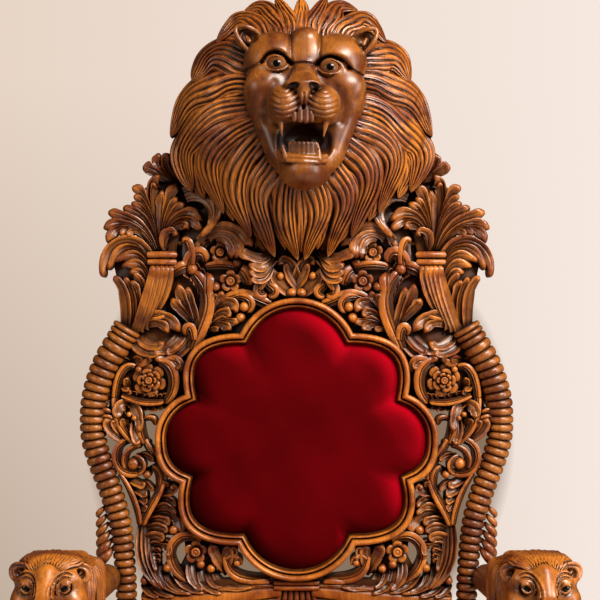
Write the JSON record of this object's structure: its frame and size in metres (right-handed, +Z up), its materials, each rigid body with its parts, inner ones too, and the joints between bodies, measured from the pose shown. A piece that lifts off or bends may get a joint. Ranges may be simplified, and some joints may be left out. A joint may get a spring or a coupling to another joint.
{
  "type": "carved lion throne",
  "caption": "High-backed carved wooden armchair with a lobed velvet back panel, a roaring lion's head on the crest and lions' heads on the arms.",
  "frame": {"origin": "on the floor under the middle of the throne's bounding box", "axes": "+Z up, the front and the sitter face -Y, +X is on the right as seen from the front"},
  "size_m": [0.9022, 0.7883, 1.8412],
  "materials": {
    "carved_wood": "satin lacquer over dark glaze",
    "backing_wood": "dark stain",
    "velvet": "crimson pile",
    "eye_glass": "polished, dark"
  },
  "bodies": {
    "root": {"back_panel": "backing_wood", "medallion_frame": "carved_wood", "medallion_pad": "velvet", "carving_left": "carved_wood", "carving_right": "carved_wood", "lower_collar": "carved_wood", "stile_left": "carved_wood", "stile_right": "carved_wood", "crest_lion": "carved_wood", "crest_eye_left": "eye_glass", "crest_eye_right": "eye_glass", "arm_left": "carved_wood", "arm_right": "carved_wood", "arm_eye_left_outer": "eye_glass", "arm_eye_left_inner": "eye_glass", "arm_eye_right_outer": "eye_glass", "arm_eye_right_inner": "eye_glass", "front_leg_left": "carved_wood", "front_leg_right": "carved_wood", "front_rail": "carved_wood", "rear_rail": "carved_wood", "lower_back_rail": "carved_wood", "side_rail_left": "carved_wood", "side_rail_right": "carved_wood", "seat_board": "backing_wood", "seat_cushion": "velvet"}
  },
  "joints": []
}
